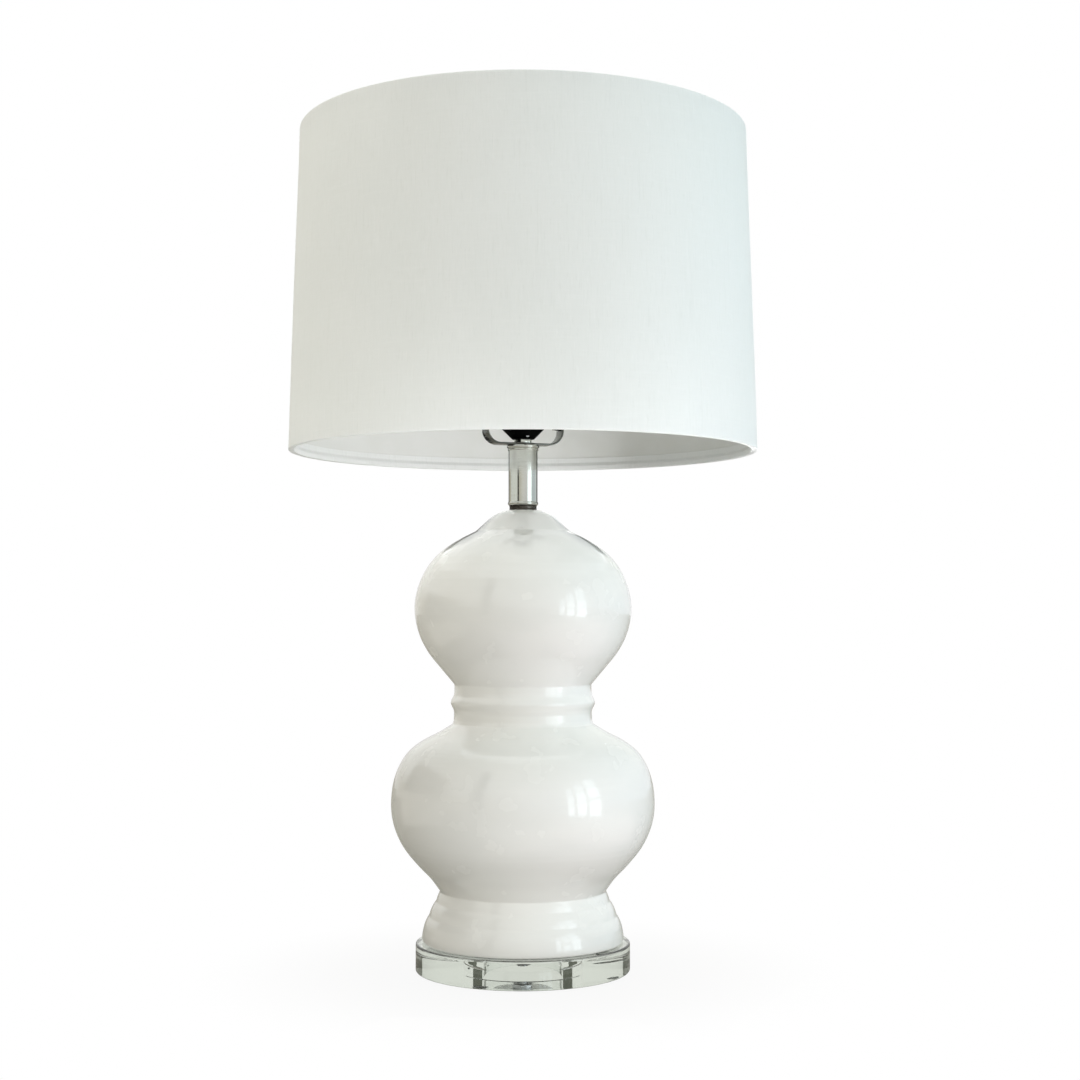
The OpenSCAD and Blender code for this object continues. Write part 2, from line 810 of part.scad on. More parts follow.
// A spoke that runs level from the hub and then rises through a notch in the hem to the top ring
module spider_arm(i) {
    start_r = hub_d / 2 - 1;
    color(nickel)
    union() {
        rotate(90 + i * 360 / arm_count) {
            translate([start_r, 0, arm_bend[1]])
            rotate([0, 90, 0])
            cylinder(h = arm_bend[0] - start_r, d = ring_wire_d, $fn = 32);
            translate([arm_bend[0], 0, arm_bend[1]]) sphere(d = ring_wire_d, $fn = 32);
        }
        arm_riser(i, ring_wire_d, ring_wire_d / 2 + 0.02);
    }
}

module spider_hub() {
    color(nickel)
    difference() {
        translate([0, 0, hub_z]) ring(hub_d, hub_hole_d, hub_t);
        for (i = [0 : arm_count - 1])
            rotate(90 + i * 360 / arm_count)
            translate([hub_d / 2 - 1, 0, hub_z + hub_t / 2])
            rotate([0, 90, 0])
            cylinder(h = 10, d = ring_wire_d, $fn = 32);
    }
}

module finial_body() {
    insert_h = 9;
    color(nickel)
    translate([0, 0, finial_z])
    difference() {
        rotate_extrude()
        polygon(concat(
            [[0, 0], [6.5, 0]], arc([6.5, 1], 1, -90, 90, 6), [[4.8, 3]],
            smooth([[4.8, 3], [4.1, 5], [4.1, 7.5], [4.9, 9.6]], 3),
            arc([5, 10.6], 1, -90, 90, 6), [[4, 12]],
            arc([0, 21.3], 9.6, -62, 90, 20)
        ));
        translate([0, 0, -1]) cylinder(h = insert_h + 1, d = 7.6);
        translate([0, 0, insert_h - 1])
        cylinder(h = stud_h - hub_t - insert_h + 2.5, d = stud_d + 2 * running_gap);
    }
}

module finial_insert() {
    color(brass)
    translate([0, 0, finial_z])
    ring(7.6, stud_d + 0.2, 8.9);
}

base_disc();
base_feet();
base_washer();
base_lock_washer();
base_nut();
foot_gasket();
ceramic_body();
cord_bushing();
lamp_pipe();
neck_seat_ring();
neck_lower_bead();
neck_tube();
neck_cap();
harp_saddle();
saddle_nut();
socket_cap();
cap_set_screw();
socket_shell();
socket_sleeve();
socket_core();
socket_screw_shell();
socket_centre_contact();
terminal_screw(1);  // terminal_screw_live
terminal_screw(-1);  // terminal_screw_neutral
switch_shaft();
switch_knob();
bulb_diffuser();
bulb_housing();
bulb_screw_cap();
bulb_insulator();
bulb_tip_contact();
led_board();
led_chips();
driver_board();
harp_wire();
harp_boss();
harp_stud();
harp_ferrule(-1);  // harp_ferrule_left
harp_ferrule(1);  // harp_ferrule_right
shade_fabric();
shade_liner();
shade_top_ring();
shade_bottom_ring();
spider_arm(0);  // spider_arm_1
spider_arm(1);  // spider_arm_2
spider_arm(2);  // spider_arm_3
spider_hub();
finial_body();
finial_insert();
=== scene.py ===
"""Looks of the table lamp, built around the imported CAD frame. Lengths are in metres."""
import json
import math

import bmesh
import bpy
import numpy as np
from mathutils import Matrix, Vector


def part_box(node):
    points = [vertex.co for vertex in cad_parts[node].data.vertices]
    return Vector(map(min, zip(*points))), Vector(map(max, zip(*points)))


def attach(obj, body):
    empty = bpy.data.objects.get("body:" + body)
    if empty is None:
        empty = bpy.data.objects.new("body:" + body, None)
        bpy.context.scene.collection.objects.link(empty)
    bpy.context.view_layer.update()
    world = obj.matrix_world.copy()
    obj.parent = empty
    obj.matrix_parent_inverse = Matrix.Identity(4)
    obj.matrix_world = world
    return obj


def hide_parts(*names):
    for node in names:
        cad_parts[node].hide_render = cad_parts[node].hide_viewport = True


MM = 0.001

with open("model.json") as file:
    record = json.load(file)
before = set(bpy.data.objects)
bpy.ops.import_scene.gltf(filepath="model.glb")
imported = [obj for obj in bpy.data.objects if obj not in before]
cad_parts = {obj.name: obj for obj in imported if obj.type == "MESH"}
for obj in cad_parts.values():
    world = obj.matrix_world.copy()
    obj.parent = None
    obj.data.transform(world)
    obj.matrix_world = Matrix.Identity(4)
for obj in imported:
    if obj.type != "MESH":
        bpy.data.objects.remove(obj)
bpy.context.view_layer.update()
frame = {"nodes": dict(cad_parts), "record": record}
nodes = frame["nodes"]


# ---------------------------------------------------------------- camera, light and stage

CAMERA_AZIMUTH = math.radians(-20)  # from the front (-Y), towards +X
CAMERA_DISTANCE, CAMERA_HEIGHT, CAMERA_ASIDE = 1.5515, 0.311, 0.0148
CAMERA_PITCH, LENS, SENSOR = math.radians(2.29), 59.3, 36


def around(azimuth, distance, z):
    """Point at a distance from the lamp's axis, at an azimuth from the front towards +X."""
    return Vector((distance * math.sin(azimuth), -distance * math.cos(azimuth), z))


def link(name, data):
    obj = bpy.data.objects.new(name, data)
    bpy.context.scene.collection.objects.link(obj)
    return obj


def make_camera():
    to_the_right = around(CAMERA_AZIMUTH + math.pi / 2, 1, 0)
    data = bpy.data.cameras.new("camera")
    data.sensor_width, data.lens = SENSOR, LENS
    camera = link("camera", data)
    camera.location = around(CAMERA_AZIMUTH, CAMERA_DISTANCE, CAMERA_HEIGHT) + CAMERA_ASIDE * to_the_right
    camera.rotation_euler = (math.pi / 2 + CAMERA_PITCH, 0, CAMERA_AZIMUTH)
    bpy.context.scene.camera = camera


SOFT, CLEAR, GLOSS = ("diffuse",), ("transmission",), ("glossy", "transmission")
EVERY, FLAG = ("diffuse", "glossy", "transmission"), ("diffuse", "glossy", "shadow")


def show_only_to(obj, rays):
    """Hides a stage object from the camera, and from every kind of ray that isn't named."""
    obj.visible_camera = False
    obj.visible_diffuse, obj.visible_glossy, obj.visible_transmission = (ray in rays for ray in EVERY)


def panel(name, corners, light, colour, seen_by=EVERY):
    """A flat light that the camera doesn't see, only the rays named."""
    mesh = bpy.data.meshes.new(name)
    mesh.from_pydata(corners, [], [(3, 2, 1, 0)])
    obj = link(name, mesh)
    material = bpy.data.materials.new(name)
    material.use_nodes = True
    shader = material.node_tree.nodes["Principled BSDF"]
    shader.inputs["Base Color"].default_value = (0, 0, 0, 1)
    shader.inputs["Specular IOR Level"].default_value = 0
    shader.inputs["Emission Color"].default_value = (*colour, 1)
    shader.inputs["Emission Strength"].default_value = light
    mesh.materials.append(material)
    obj.visible_shadow = "shadow" in seen_by
    show_only_to(obj, seen_by)


def card(name, azimuth, distance, width, low, high, light, colour=(1, 1, 1), seen_by=EVERY):
    """An upright panel that faces the lamp. Azimuth is in degrees to the camera's right."""
    turn = CAMERA_AZIMUTH + math.radians(azimuth)
    centre, side = around(turn, distance, 0), around(turn + math.pi / 2, width / 2, 0)
    corners = [centre + side * s + Vector((0, 0, z)) for s, z in ((-1, low), (1, low), (1, high), (-1, high))]
    panel(name, corners, light, colour, seen_by)


def area_light(name, place, aim, size, watts, colour, seen_by=SOFT):
    """An oval lamp out of sight. Place and aim are each an azimuth, a distance from the axis and a height."""
    at, to = (around(CAMERA_AZIMUTH + math.radians(azimuth), distance, z)
              for azimuth, distance, z in (place, aim))
    data = bpy.data.lights.new(name, "AREA")
    data.shape, (data.size, data.size_y), data.energy, data.color = "ELLIPSE", size, watts, colour
    obj = link(name, data)
    obj.location, obj.rotation_euler = at, (to - at).to_track_quat("-Z", "Y").to_euler()
    show_only_to(obj, seen_by)


def tabletop(name, azimuths, distances, light, colour, seen_by=SOFT):
    """A part of the table that shows the lamp more or less light than the rest."""
    a, b = (CAMERA_AZIMUTH + math.radians(azimuth) for azimuth in azimuths)
    near, far = distances
    panel(name, [around(a, near, MM), around(b, near, MM), around(b, far, MM), around(a, far, MM)],
          light, colour, seen_by)


ROOM = (  # azimuth to the camera's right in degrees, radiance, warmth
    (-180, 0.8, 0), (-150, 0.72, 0.4), (-130, 0.6, 0.8), (-105, 0.5, 1.0), (-60, 0.6, 1.0), (-44, 0.5, 1.0),
    (-28, 0.62, 0.8), (0, 0.78, 0.3), (35, 0.76, 0), (95, 0.74, -0.8), (120, 0.76, -0.4), (150, 0.8, 0),
)
WARM, COOL = (1.0, 0.955, 0.78), (0.8, 0.95, 1.0)
UPPER_WALL, CEILING = (2.15, 2.17, 2.08), (0.35, 0.35, 0.34)
MIRRORED = (0.95, 0.96, 0.92)  # the wall above table height as the gloss shows it
LEFT_LIGHT, FRONT_LIGHT, RIGHT_LIGHT = (1.0, 0.96, 0.84), (0.95, 0.98, 1.0), (0.5, 0.88, 1.0)
TABLE_LIGHT, PANE_LIGHT, PALE_WALL = (1.0, 0.96, 1.03), (0.86, 0.96, 1.0), (0.97, 1.0, 0.94)
THROUGH_DISC, BESIDE_DISC = (0.7, 0.725, 0.66), (0.1, 0.11, 0.085)
HORIZON, WALL_TOP = (0.1, 0.26), (0.5, 0.66)  # heights on a unit sphere between which one fades to the next


def backdrop(tree):
    """What the camera sees behind the lamp: white, or a shade darker and greener through the clear disc.
    Gives the share of rays that see it, and its colour."""
    path = tree.nodes.new("ShaderNodeLightPath")
    straight = tree.nodes.new("ShaderNodeMath")
    straight.operation = "MAXIMUM"
    tree.links.new(path.outputs["Is Camera Ray"], straight.inputs[0])
    tree.links.new(path.outputs["Is Transmission Ray"], straight.inputs[1])
    colour = tree.nodes.new("ShaderNodeMix")
    colour.data_type = "RGBA"
    tree.links.new(path.outputs["Is Camera Ray"], colour.inputs["Factor"])
    colour.inputs["A"].default_value, colour.inputs["B"].default_value = (*THROUGH_DISC, 1), (1, 1, 1, 1)
    return straight.outputs[0], colour.outputs["Result"]


def make_world():
    """A pale room: white where the camera looks straight at it, brighter and cooler on the window's side."""
    world = bpy.data.worlds.new("room")
    bpy.context.scene.world = world
    world.use_nodes = True
    tree = world.node_tree
    tree.nodes.clear()

    def add(kind, **settings):
        node = tree.nodes.new(kind)
        for key, value in settings.items():
            setattr(node, key, value)
        return node

    def plug(source, target):
        tree.links.new(source, target)

    place = add("ShaderNodeTexCoord")
    turn = add("ShaderNodeVectorRotate", rotation_type="Z_AXIS")
    turn.inputs["Angle"].default_value = -CAMERA_AZIMUTH
    plug(place.outputs["Generated"], turn.inputs["Vector"])
    parts = add("ShaderNodeSeparateXYZ")
    plug(turn.outputs[0], parts.inputs[0])
    behind = add("ShaderNodeMath", operation="MULTIPLY")
    plug(parts.outputs["Y"], behind.inputs[0])
    behind.inputs[1].default_value = -1
    azimuth = add("ShaderNodeMath", operation="ARCTAN2")
    plug(parts.outputs["X"], azimuth.inputs[0])
    plug(behind.outputs[0], azimuth.inputs[1])
    share = add("ShaderNodeMapRange")
    plug(azimuth.outputs[0], share.inputs["Value"])
    share.inputs["From Min"].default_value, share.inputs["From Max"].default_value = -math.pi, math.pi
    ramp = add("ShaderNodeValToRGB")
    plug(share.outputs["Result"], ramp.inputs[0])
    stops = [*ROOM, (180, *ROOM[0][1:])]
    while len(ramp.color_ramp.elements) < len(stops):
        ramp.color_ramp.elements.new(0.5)
    for element, (degrees, light, warmth) in zip(ramp.color_ramp.elements, stops):
        tint = WARM if warmth > 0 else COOL
        element.position = (degrees + 180) / 360
        element.color = (*(light * (1 + (c - 1) * abs(warmth)) for c in tint), 1)

    def fade_up(colour, heights, upper):
        height = add("ShaderNodeMapRange")
        plug(parts.outputs["Z"], height.inputs["Value"])
        height.inputs["From Min"].default_value, height.inputs["From Max"].default_value = heights
        above = add("ShaderNodeMix", data_type="RGBA")
        plug(height.outputs["Result"], above.inputs["Factor"])
        plug(colour, above.inputs["A"])
        above.inputs["B"].default_value = (*upper, 1)
        return above.outputs["Result"]

    level = ramp.outputs["Color"]
    by_ray = add("ShaderNodeMix", data_type="RGBA")
    plug(add("ShaderNodeLightPath").outputs["Is Glossy Ray"], by_ray.inputs["Factor"])
    plug(fade_up(fade_up(level, HORIZON, UPPER_WALL), WALL_TOP, CEILING), by_ray.inputs["A"])
    plug(fade_up(level, HORIZON, MIRRORED), by_ray.inputs["B"])
    room = add("ShaderNodeBackground")
    plug(by_ray.outputs["Result"], room.inputs["Color"])
    seen = add("ShaderNodeBackground")
    straight, white = backdrop(tree)
    plug(white, seen.inputs["Color"])
    pick = add("ShaderNodeMixShader")
    plug(straight, pick.inputs[0])
    plug(room.outputs[0], pick.inputs[1])
    plug(seen.outputs[0], pick.inputs[2])
    plug(pick.outputs[0], add("ShaderNodeOutputWorld").inputs["Surface"])


def make_floor():
    """A pale floor that turns plain white away from the lamp, so that it has no far edge."""
    mesh = bpy.data.meshes.new("floor")
    size = 6
    corners = [(-size, -size, 0), (size, -size, 0), (size, size, 0), (-size, size, 0)]
    mesh.from_pydata(corners, [], [(0, 1, 2, 3)])
    floor = link("floor", mesh)
    material = bpy.data.materials.new("floor")
    material.use_nodes = True
    tree = material.node_tree
    shader = tree.nodes["Principled BSDF"]
    shader.inputs["Base Color"].default_value = (0.4, 0.375, 0.33, 1)
    shader.inputs["Roughness"].default_value = 0.7
    shader.inputs["Specular IOR Level"].default_value = 0.1
    place = tree.nodes.new("ShaderNodeTexCoord")
    reach = tree.nodes.new("ShaderNodeVectorMath")
    reach.operation = "LENGTH"
    tree.links.new(place.outputs["Object"], reach.inputs[0])
    fade = tree.nodes.new("ShaderNodeMapRange")
    fade.interpolation_type = "SMOOTHSTEP"
    fade.inputs["From Min"].default_value, fade.inputs["From Max"].default_value = 0.1, 0.3
    fade.inputs["To Min"].default_value = 0.93
    tree.links.new(reach.outputs["Value"], fade.inputs["Value"])
    straight, colour = backdrop(tree)
    both = tree.nodes.new("ShaderNodeMath")
    both.operation = "MULTIPLY"
    tree.links.new(fade.outputs["Result"], both.inputs[0])
    tree.links.new(straight, both.inputs[1])
    white = tree.nodes.new("ShaderNodeEmission")
    tree.links.new(colour, white.inputs["Color"])
    mix = tree.nodes.new("ShaderNodeMixShader")
    tree.links.new(both.outputs[0], mix.inputs[0])
    tree.links.new(shader.outputs[0], mix.inputs[1])
    tree.links.new(white.outputs[0], mix.inputs[2])
    tree.links.new(mix.outputs[0], tree.nodes["Material Output"].inputs["Surface"])
    mesh.materials.append(material)


def make_stage():
    scene = bpy.context.scene
    make_camera()
    make_world()
    make_floor()
    scene.view_settings.view_transform = "Standard"
    scene.cycles.caustics_reflective = False
    scene.cycles.sample_clamp_indirect = 2
    make_window()
    make_dark_cards()
    make_soft_light()
    make_shade_light()
    card("pale_wall_left", -77, 1.2, 1.53, 0.4, 0.56, 0.85, PALE_WALL, GLOSS)
    tabletop("lit_table_right", (25, 105), (0.3, 1.1), 1.35, TABLE_LIGHT)
    tabletop("lit_table_front", (-30, 25), (0.2, 0.5), 1.4, FRONT_LIGHT)
    for part, low, high, light in (("low", 0, 0.2, 0.7), ("high", 0.2, 0.43, 0.35)):
        card(f"dark_flag_{part}", -92, 0.5, 0.5, low, high, light, LEFT_LIGHT, FLAG)


def make_dark_cards():
    """Dark things that the metal mirrors at its edges, and the dim room beside the clear disc."""
    card("dark_doorway", -38, 1.9, 0.36, 0, 2.2, 0.02)
    for side, azimuth in (("left", -147), ("right", 143)):
        card(f"dark_edge_{side}", azimuth, 0.15, 0.067, 0.4, 0.475, 0.05, seen_by=GLOSS)
    for side, turn in (("left", -1), ("right", 1)):
        azimuths = sorted((turn * 97, turn * 128))
        tabletop(f"table_{side}_of_disc", azimuths, (0.097, 0.7), 1, BESIDE_DISC, CLEAR)
        card(f"wall_{side}_of_disc", turn * 112.5, 0.7, 0.39, 0, 0.3, 1, BESIDE_DISC, CLEAR)


def make_soft_light():
    """Broad soft light from the left, the front and the window's side, and window light near the table."""
    card("soft_left", -85, 2, 1.6, 0.6, 1.8, 2.0, LEFT_LIGHT, SOFT)
    card("soft_front", -20, 2, 1.6, 0.5, 1.7, 1.4, FRONT_LIGHT, SOFT)
    card("soft_right", 85, 2, 2.4, 0.5, 2.2, 1.5, RIGHT_LIGHT, SOFT)
    card("window_foot", 66, 1.05, 0.7, 0, 0.34, 3.2, TABLE_LIGHT, SOFT)


def make_shade_light():
    """Room light on the shade's inside and lower edge, and the shade's mouth as the glaze mirrors it."""
    area_light("into_shade", (110, 0.17, 0.4), (-48, 0.134, 0.43), (0.12, 0.03), 0.7, FRONT_LIGHT)
    area_light("shade_mouth", (0, 0, 0.428), (0, 0, 0), (0.36, 0.36), 0.24, FRONT_LIGHT, ("glossy",))
    for name, azimuth, watts in zip(RIM_LIGHTS, (-60, -15, 30), (0.022, 0.055, 0.035)):
        area_light(name, (azimuth, 0.27, 0.375), (azimuth, 0.2, 0.44), (0.2, 0.03), watts, FRONT_LIGHT)


RIM_LIGHTS = ["under_rim_1", "under_rim_2", "under_rim_3"]

WINDOW = (  # azimuth of the middle in degrees, width, and the heights of its rows of panes
    (40.3, 0.115, (0.02, 0.2, 0.42, 0.62)),
    (50.0, 0.175, (0.02, 0.26, 0.52, 0.78)),
    (62.4, 0.23, (0.0, 0.3, 0.6, 0.88)),
)
PANE_RADIANCE = (3.6, 3.2, 2.5)  # from the lowest row of panes up
PANE_BAR = 0.02


def shine_only_on(names, lights):
    """Keeps area lights off everything but the objects named."""
    group = bpy.data.collections.new("lit_by_" + lights[0])
    for name in names:
        group.objects.link(bpy.data.objects[name])
    for light in lights:
        bpy.data.objects[light].light_linking.receiver_collection = group


def make_window():
    """Three tall lights of a window beside the lamp, each of three panes."""
    edge = PANE_BAR / 2
    for i, (azimuth, width, rows) in enumerate(WINDOW, 1):
        for j, (low, high, light) in enumerate(zip(rows, rows[1:], PANE_RADIANCE), 1):
            card(f"window_{i}_{j}", azimuth, 1.2, width, low + edge, high - edge, light, PANE_LIGHT, GLOSS)


# ---------------------------------------------------------------- shader nodes

class Surface:
    """A material under construction, with short calls for the nodes that the finishes share."""

    def __init__(self, name, colour, roughness, **settings):
        self.material = bpy.data.materials.new(name)
        self.material.use_nodes = True
        self.tree = self.material.node_tree
        self.shader = self.tree.nodes["Principled BSDF"]
        self.place = self.tree.nodes.new("ShaderNodeTexCoord")
        self.set("Base Color", (*colour, 1))
        self.set("Roughness", roughness)
        for key, value in settings.items():
            self.set(key.replace("_", " "), value)

    def set(self, socket, value):
        self.shader.inputs[socket].default_value = value

    def add(self, kind, inputs=(), **settings):
        """A node with its settings, and with a value or another node's output on each input named."""
        node = self.tree.nodes.new(kind)
        for key, value in settings.items():
            setattr(node, key, value)
        for key, value in dict(inputs).items():
            if isinstance(value, bpy.types.NodeSocket):
                self.tree.links.new(value, node.inputs[key])
            else:
                node.inputs[key].default_value = value
        return node

    def scaled(self, scale, by="Object"):
        """Texture coordinates times scale, per metre."""
        return self.add("ShaderNodeMapping", {"Vector": self.place.outputs[by], "Scale": scale}).outputs[0]

    def noise(self, scale, detail=2, by="Object", roughness=0.5, distortion=0):
        scale = scale if isinstance(scale, tuple) else (scale,) * 3
        return self.add("ShaderNodeTexNoise", {
            "Vector": self.scaled(scale, by), "Scale": 1, "Detail": detail, "Roughness": roughness,
            "Distortion": distortion}).outputs["Fac"]

    def math(self, operation, a, b=0.0, clamp=False):
        return self.add("ShaderNodeMath", {0: a, 1: b}, operation=operation, use_clamp=clamp).outputs[0]

    def spread(self, value, low, high, to_low=0.0, to_high=1.0):
        """Value from low to high mapped smoothly onto to_low to to_high."""
        return self.add("ShaderNodeMapRange", {
            "Value": value, "From Min": low, "From Max": high, "To Min": to_low, "To Max": to_high},
            interpolation_type="SMOOTHSTEP").outputs["Result"]

    def mix(self, share, a, b):
        a, b = ((*c, 1) if isinstance(c, tuple) else c for c in (a, b))
        inputs = {"Factor": share, "A": a, "B": b}
        return self.add("ShaderNodeMix", inputs, data_type="RGBA").outputs["Result"]

    def to(self, socket, value):
        self.tree.links.new(value, self.shader.inputs[socket])

    def bump(self, height, distance, strength=1.0, under=None):
        inputs = {"Height": height, "Distance": distance, "Strength": strength}
        if under is not None:
            inputs["Normal"] = under
        return self.add("ShaderNodeBump", inputs).outputs["Normal"]


# ---------------------------------------------------------------- finishes

def white_glaze():
    s = Surface("white_glaze", (0.86, 0.86, 0.84), 0.22, Coat_Weight=1.0, Coat_Roughness=0.025, Coat_IOR=1.52)
    s.set("Specular IOR Level", 0.35)
    crest = s.add("ShaderNodeAttribute", attribute_name="crest").outputs["Fac"]
    cloud = s.noise((9, 9, 14), 3)
    body = s.mix(s.spread(cloud, 0.35, 0.65), (0.765, 0.753, 0.718), (0.742, 0.734, 0.704))
    thin = s.math("MULTIPLY", crest, s.spread(s.noise(60, 2), 0.3, 0.7, 0.25, 0.6))
    s.to("Base Color", s.mix(thin, body, (0.73, 0.715, 0.68)))
    peel = s.noise(420, 2)
    waves = s.noise((26, 26, 55), 2)
    s.to("Normal", s.bump(peel, 0.000003, 1, s.bump(waves, 0.00006)))
    s.to("Roughness", s.spread(s.noise(35, 3), 0.3, 0.75, 0.18, 0.3))
    return s.material


def clear_acrylic():
    s = Surface("clear_acrylic", (0.95, 0.965, 0.955), 0.0, Transmission_Weight=1.0, IOR=1.49)
    s.to("Roughness", s.spread(s.noise(130, 3), 0.45, 0.8, 0.0, 0.03))
    s.to("Normal", s.bump(s.noise((22, 22, 34), 1), 0.00008))
    return s.material


def clear_rubber():
    s = Surface("clear_rubber", (0.86, 0.88, 0.87), 0.4, Transmission_Weight=0.7, IOR=1.45)
    s.to("Roughness", s.spread(s.noise(400, 3), 0.3, 0.7, 0.3, 0.5))
    s.to("Normal", s.bump(s.noise(900, 2), 0.00002))
    return s.material


def metal(name, colour, other, low, high, grain=(60, 60, 60), relief=0.000003):
    """Plated metal: a slow change of tone and polish, and a fine grain."""
    s = Surface(name, colour, low, Metallic=1.0)
    s.to("Base Color", s.mix(s.spread(s.noise(30, 3), 0.3, 0.7), colour, other))
    grained = s.noise(grain, 3)
    s.to("Roughness", s.spread(grained, 0.3, 0.75, low, high))
    s.to("Normal", s.bump(grained, relief))
    return s.material


def moulded(name, colour, other, roughness, grain=700, relief=0.00001, **settings):
    """Moulded plastic or rubber: a faint mottle, and a fine moulded grain."""
    s = Surface(name, colour, roughness, **settings)
    s.to("Base Color", s.mix(s.spread(s.noise(45, 3), 0.3, 0.7), colour, other))
    grained = s.noise(grain, 2)
    s.to("Roughness", s.spread(grained, 0.3, 0.7, roughness - 0.06, roughness + 0.06))
    s.to("Normal", s.bump(grained, relief))
    return s.material


def foam_pad():
    s = Surface("foam_pad", (0.09, 0.092, 0.09), 0.9)
    cells = s.add("ShaderNodeTexVoronoi", {"Vector": s.scaled((1400,) * 3), "Scale": 1}).outputs["Distance"]
    s.to("Base Color", s.mix(s.spread(cells, 0.1, 0.7), (0.04, 0.04, 0.04), (0.13, 0.13, 0.125)))
    s.to("Normal", s.bump(cells, 0.0003))
    return s.material


def insulating_card():
    s = Surface("insulating_card", (0.5, 0.4, 0.26), 0.85)
    fibre = s.noise((900, 900, 90), 4)
    s.to("Base Color", s.mix(s.spread(fibre, 0.3, 0.7), (0.42, 0.33, 0.2), (0.58, 0.48, 0.33)))
    s.to("Normal", s.bump(fibre, 0.00006))
    return s.material


def driver_laminate():
    s = Surface("driver_laminate", (0.03, 0.2, 0.08), 0.3)
    weave = s.add("ShaderNodeTexChecker", {"Vector": s.scaled((2200,) * 3), "Scale": 1}).outputs["Fac"]
    tone = s.mix(s.math("MULTIPLY", weave, 0.3), (0.02, 0.17, 0.07), (0.05, 0.26, 0.12))
    s.to("Base Color", tone)
    s.to("Normal", s.bump(weave, 0.00001))
    return s.material


def shade_styrene():
    """The shade's lining, which lets part of the light through, as the linen does."""
    s = Surface("shade_styrene", (0.93, 0.93, 0.9), 0.45)
    mottle = s.noise(40, 4)
    tone = s.mix(s.spread(mottle, 0.3, 0.7), (0.85, 0.852, 0.825), (0.87, 0.87, 0.85))
    s.to("Base Color", tone)
    s.to("Normal", s.bump(s.noise(14, 2), 0.0012, 1, s.bump(s.noise(1200, 2), 0.00001)))
    return see_light_through(s, tone, 0.25)


def see_light_through(s, tone, share):
    """Part of the light that falls on the other side comes through, scattered."""
    through = s.add("ShaderNodeBsdfTranslucent", {"Color": tone})
    mix = s.add("ShaderNodeMixShader", {0: share, 1: s.shader.outputs[0], 2: through.outputs[0]})
    s.tree.links.new(mix.outputs[0], s.tree.nodes["Material Output"].inputs["Surface"])
    return s.material


def shade_linen():
    """Plain-woven linen. Its texture coordinates are metres round the shade and metres up it."""
    s = Surface("shade_linen", (0.96, 0.965, 0.955), 0.85)
    s.set("Sheen Weight", 0.25)
    s.set("Sheen Roughness", 0.45)
    s.set("Specular IOR Level", 0.25)
    warp = s.noise((1500, 60, 0), 3, "UV", 0.6)
    weft = s.noise((60, 1500, 0), 3, "UV", 0.6)
    slub = s.noise((560, 75, 0), 2, "UV", 0.6, 0.4)
    streak = s.noise((330, 16, 0), 3, "UV", 0.65, 0.3)
    bar = s.noise((22, 420, 0), 2, "UV")
    patch = s.noise((16, 9, 0), 3, "UV")
    thick, thin = s.spread(slub, 0.56, 0.74), s.spread(slub, 0.44, 0.28)
    tone = s.mix(s.spread(patch, 0.3, 0.7), (0.95, 0.957, 0.945), (0.972, 0.977, 0.967))
    pale, dull = (1, 1, 0.99), (0.885, 0.892, 0.877)
    for share, amount, colour in (
            (s.spread(streak, 0.45, 0.25), 0.5, dull), (s.spread(streak, 0.55, 0.75), 0.6, pale),
            (thin, 0.45, dull), (thick, 0.6, pale), (s.spread(warp, 0.35, 0.7), 0.25, dull),
            (s.spread(weft, 0.4, 0.75), 0.2, dull), (s.spread(bar, 0.5, 0.8), 0.3, pale)):
        tone = s.mix(s.math("MULTIPLY", share, amount), tone, colour)
    s.to("Base Color", tone)
    threads = s.math("ADD", s.math("MULTIPLY", warp, 0.5), s.math("MULTIPLY", weft, 0.35))
    s.to("Normal", s.bump(s.math("ADD", threads, s.math("MULTIPLY", thick, 0.6)), 0.0002, 0.8))
    return see_light_through(s, tone, 0.35)


FINISHES = {
    "clear_acrylic": clear_acrylic(),
    "clear_rubber": clear_rubber(),
    "zinc_steel": metal("zinc_steel", (0.56, 0.57, 0.6), (0.66, 0.66, 0.67), 0.28, 0.45, (300, 300, 300)),
    "foam_pad": foam_pad(),
    "white_glaze": white_glaze(),
    "brushed_nickel": metal("brushed_nickel", (0.69, 0.695, 0.655), (0.63, 0.64, 0.605), 0.07, 0.16,
                            (90, 90, 900)),
    "dark_nickel": metal("dark_nickel", (0.045, 0.04, 0.036), (0.09, 0.082, 0.072), 0.2, 0.36,
                         (200, 200, 900)),
    # the saddle strip's nickel is painted far darker than the tube's: painted shade standing in for the dark
    # reflections the strip shows
    "dull_nickel": metal("dull_nickel", (0.13, 0.135, 0.125), (0.18, 0.184, 0.17), 0.16, 0.3, (90, 90, 900)),
    "black_phenolic": moulded("black_phenolic", (0.001, 0.001, 0.001), (0.002, 0.002, 0.002), 0.45,
                              Specular_IOR_Level=0.03),
    "insulating_card": insulating_card(),
    "brass": metal("brass", (0.72, 0.50, 0.2), (0.62, 0.42, 0.17), 0.18, 0.34, (200, 200, 200)),
    "nickel_screw": metal("nickel_screw", (0.68, 0.67, 0.65), (0.6, 0.6, 0.59), 0.15, 0.3, (200, 200, 700)),
    "bulb_plastic": moulded("bulb_plastic", (0.88, 0.88, 0.86), (0.85, 0.85, 0.83), 0.38, 900, 0.000006,
                            Subsurface_Weight=0.1),
    "led_substrate": moulded("led_substrate", (0.8, 0.81, 0.81), (0.77, 0.78, 0.78), 0.35),
    "led_phosphor": moulded("led_phosphor", (0.82, 0.6, 0.1), (0.88, 0.68, 0.18), 0.5),
    "driver_laminate": driver_laminate(),
    "shade_linen": shade_linen(),
    "shade_styrene": shade_styrene(),
}
SLOT_OF = {part["node"]: part["material_slot"] for part in frame["record"]["subparts"]}
BODY_OF = {node: body for body, members in frame["record"]["behaviour"]["bodies"].items() for node in members}


